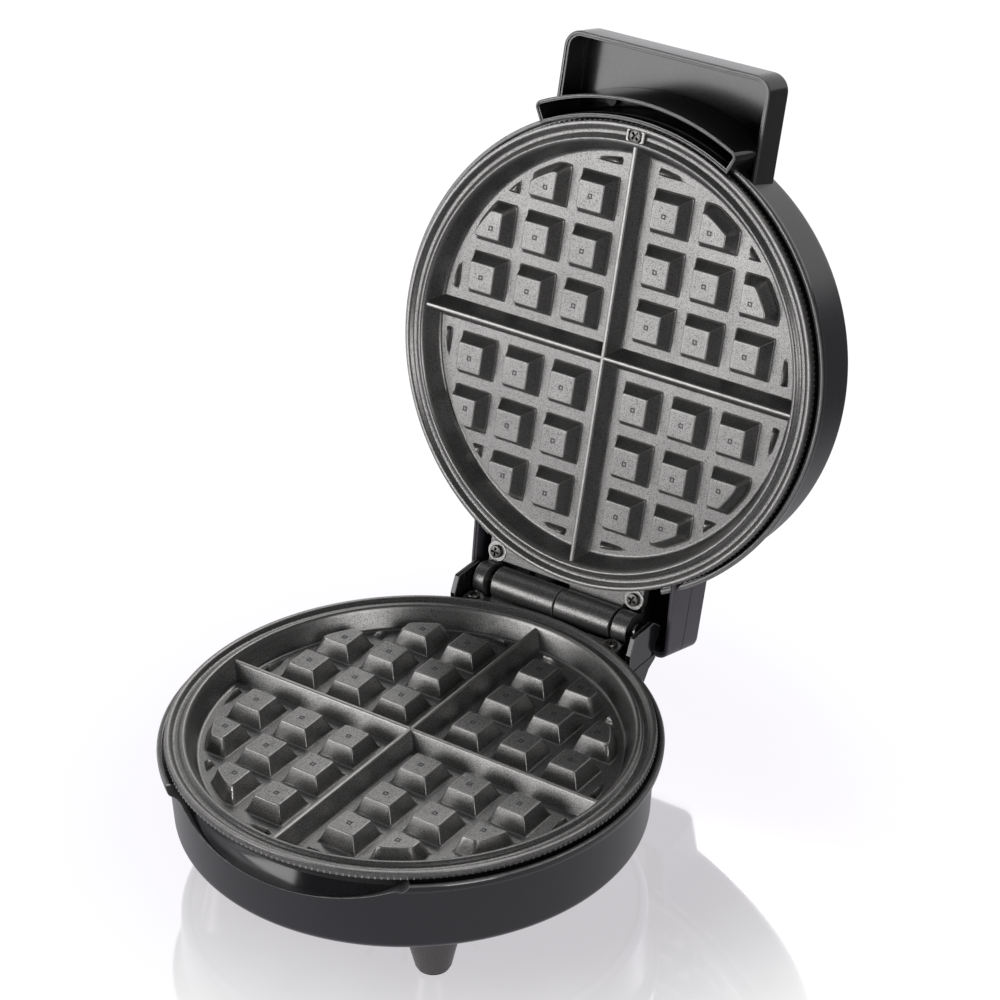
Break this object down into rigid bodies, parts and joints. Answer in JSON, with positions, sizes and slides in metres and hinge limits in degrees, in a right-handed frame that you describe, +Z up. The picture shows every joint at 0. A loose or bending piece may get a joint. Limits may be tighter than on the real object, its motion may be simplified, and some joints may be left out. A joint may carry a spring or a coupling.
{
  "type": "waffle maker",
  "caption": "Round waffle maker standing open on cone feet, with a hinged lid, front grip hood and deep square-pocket plates split into quarters.",
  "frame": {"origin": "centre of the open appliance's bounding box, at the level its rubber feet rest on", "axes": "+Z up, -Y to the front where the handle comes down, +Y to the rear where the hinge is, +X to the right seen from the front"},
  "size_m": [0.2168, 0.3196, 0.304],
  "materials": {
    "housing_anthracite": "moulded anthracite plastic, satin gloss",
    "handle_gloss": "moulded anthracite plastic, gloss",
    "plate_coated": "cast aluminium with dark speckled non-stick coating",
    "cover_steel": "pressed steel, dark powder coat",
    "element_steel": "sheathed heating element, heat-tinted",
    "sheet_steel": "bright pressed sheet steel",
    "screw_steel": "black-oxide steel",
    "pin_steel": "ground steel rod",
    "gland_plastic": "black nylon",
    "pad_rubber": "matt black rubber",
    "foot_plastic": "moulded dark grey plastic, satin",
    "thermostat_ceramic": "unglazed ceramic",
    "fuse_metal": "plain metal case",
    "block_white": "heat-resistant white plastic",
    "lens_red": "translucent red, gloss",
    "lens_green": "translucent green, gloss"
  },
  "bodies": {
    "base": {"lower_housing": "housing_anthracite", "bottom_cover": "cover_steel", "lower_plate": "plate_coated", "lower_heater": "element_steel", "lower_reflector": "sheet_steel", "lower_heater_clamps": "sheet_steel", "lower_plate_screws": "screw_steel", "base_thermostat": "thermostat_ceramic", "base_thermal_fuse": "fuse_metal", "terminal_block": "block_white", "cord_gland": "gland_plastic", "hinge_pin": "pin_steel", "foot_pads": "pad_rubber", "foot_screws": "screw_steel", "foot_front_right": "foot_plastic", "foot_front_left": "foot_plastic", "foot_rear_right": "foot_plastic", "foot_rear_left": "foot_plastic"},
    "lid": {"upper_housing": "housing_anthracite", "handle": "handle_gloss", "handle_screws": "screw_steel", "upper_plate": "plate_coated", "upper_heater": "element_steel", "upper_reflector": "sheet_steel", "upper_heater_clamps": "sheet_steel", "upper_plate_screws": "screw_steel", "lid_thermostat": "thermostat_ceramic", "lid_thermal_fuse": "fuse_metal", "rear_cover": "housing_anthracite", "rear_cover_screws": "screw_steel", "lamp_lens_left": "lens_red", "lamp_lens_right": "lens_green", "lamp_holder": "block_white"}
  },
  "joints": [
    {"name": "lid_hinge", "type": "hinge", "parent": "base", "child": "lid", "pos_m": [0, 0.06148, 0.065], "axis": [1, 0, 0], "range_deg": [0, 104.9]}
  ]
}
